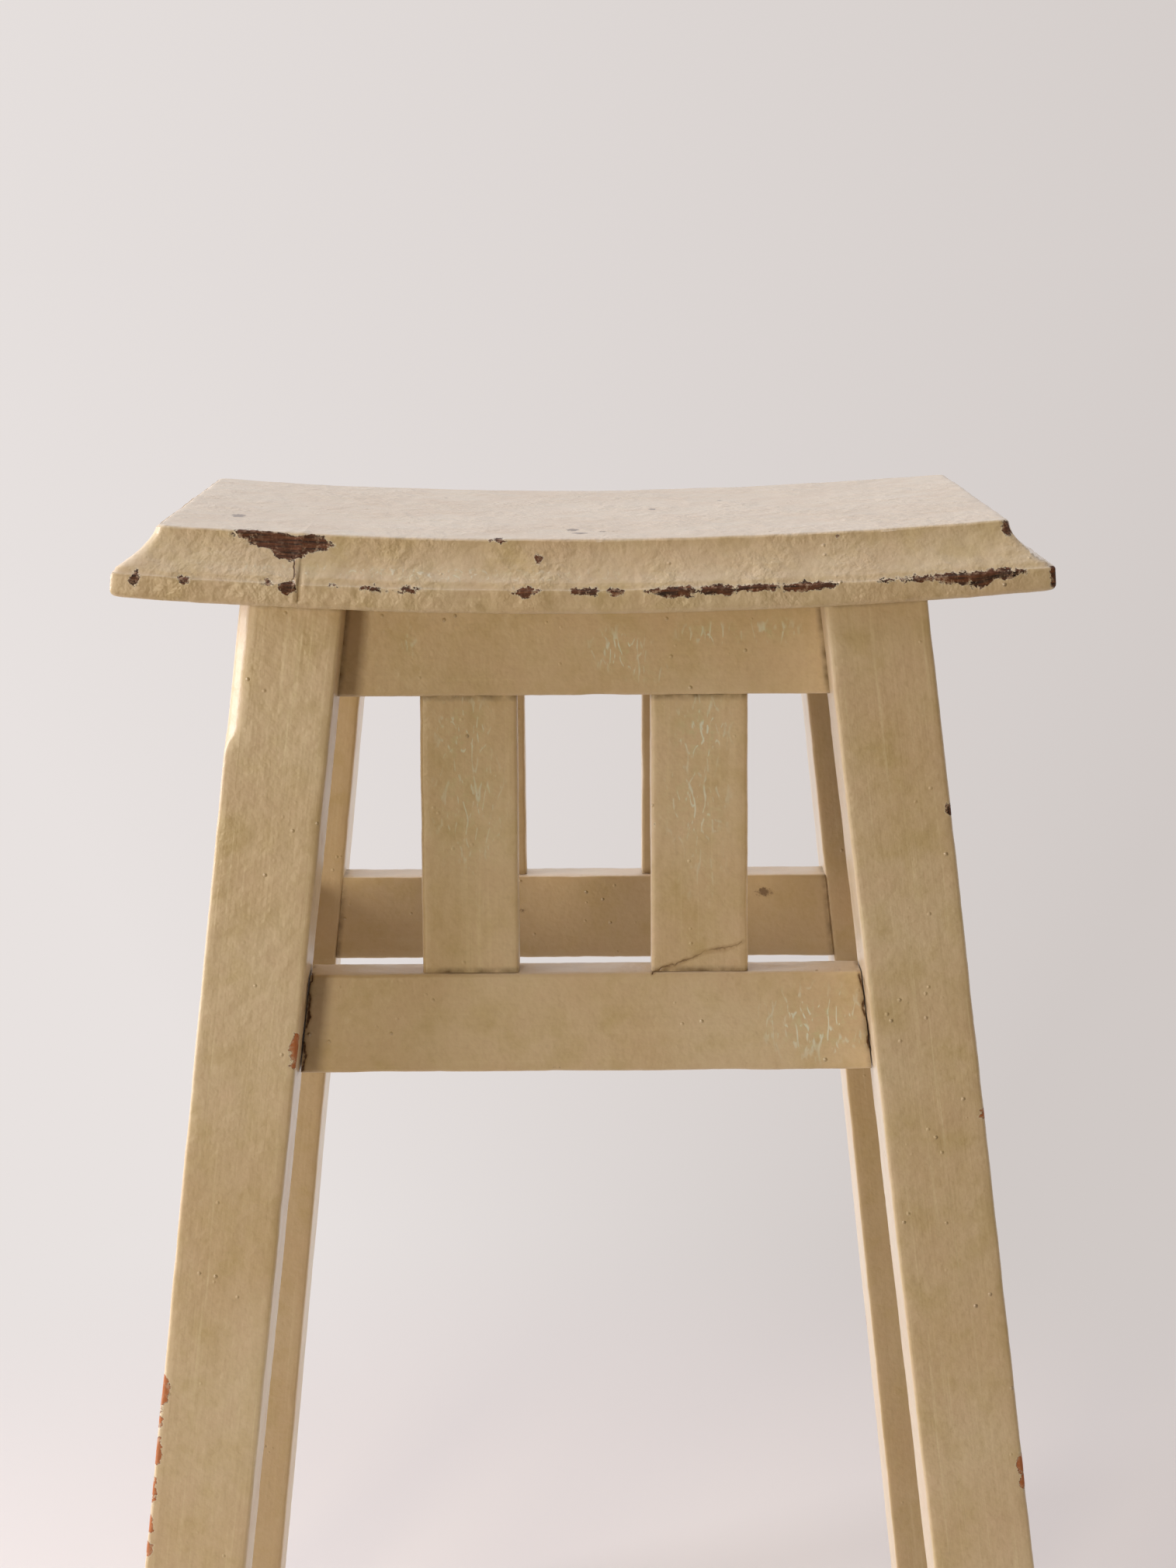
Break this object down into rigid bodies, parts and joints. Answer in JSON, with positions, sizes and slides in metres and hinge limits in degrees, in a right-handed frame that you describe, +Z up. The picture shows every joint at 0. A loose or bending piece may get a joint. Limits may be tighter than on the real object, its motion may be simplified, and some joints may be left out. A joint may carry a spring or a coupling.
{
  "type": "stool",
  "caption": "Small painted wooden stool with a dished seat, splayed square legs, aprons, lower rails and upright slats, used to sit on or as a step.",
  "frame": {"origin": "on the floor, under the middle of the seat", "axes": "+Z up; +X along the seat's length, to the right when the front is faced; +Y from the front to the back"},
  "size_m": [0.3964, 0.3092, 0.5987],
  "materials": {
    "painted_wood": "thick brushed gloss enamel, cream to putty, chipped and worn along the edges",
    "bare_wood": "unpainted",
    "screw_steel": "dull"
  },
  "bodies": {
    "root": {"seat_board_1": "painted_wood", "seat_board_2": "painted_wood", "seat_board_3": "painted_wood", "seat_board_4": "painted_wood", "seat_board_5": "painted_wood", "leg_front_left": "painted_wood", "corner_block_front_left": "painted_wood", "leg_front_right": "painted_wood", "corner_block_front_right": "painted_wood", "leg_back_left": "painted_wood", "corner_block_back_left": "painted_wood", "leg_back_right": "painted_wood", "corner_block_back_right": "painted_wood", "apron_front": "painted_wood", "apron_back": "painted_wood", "apron_left": "painted_wood", "apron_right": "painted_wood", "lower_rail_front": "painted_wood", "lower_rail_back": "painted_wood", "lower_rail_left": "painted_wood", "lower_rail_right": "painted_wood", "slat_front_left": "painted_wood", "slat_front_right": "painted_wood", "slat_back_left": "painted_wood", "slat_back_right": "painted_wood", "seat_dowels": "bare_wood", "seat_screws": "screw_steel"}
  },
  "joints": []
}
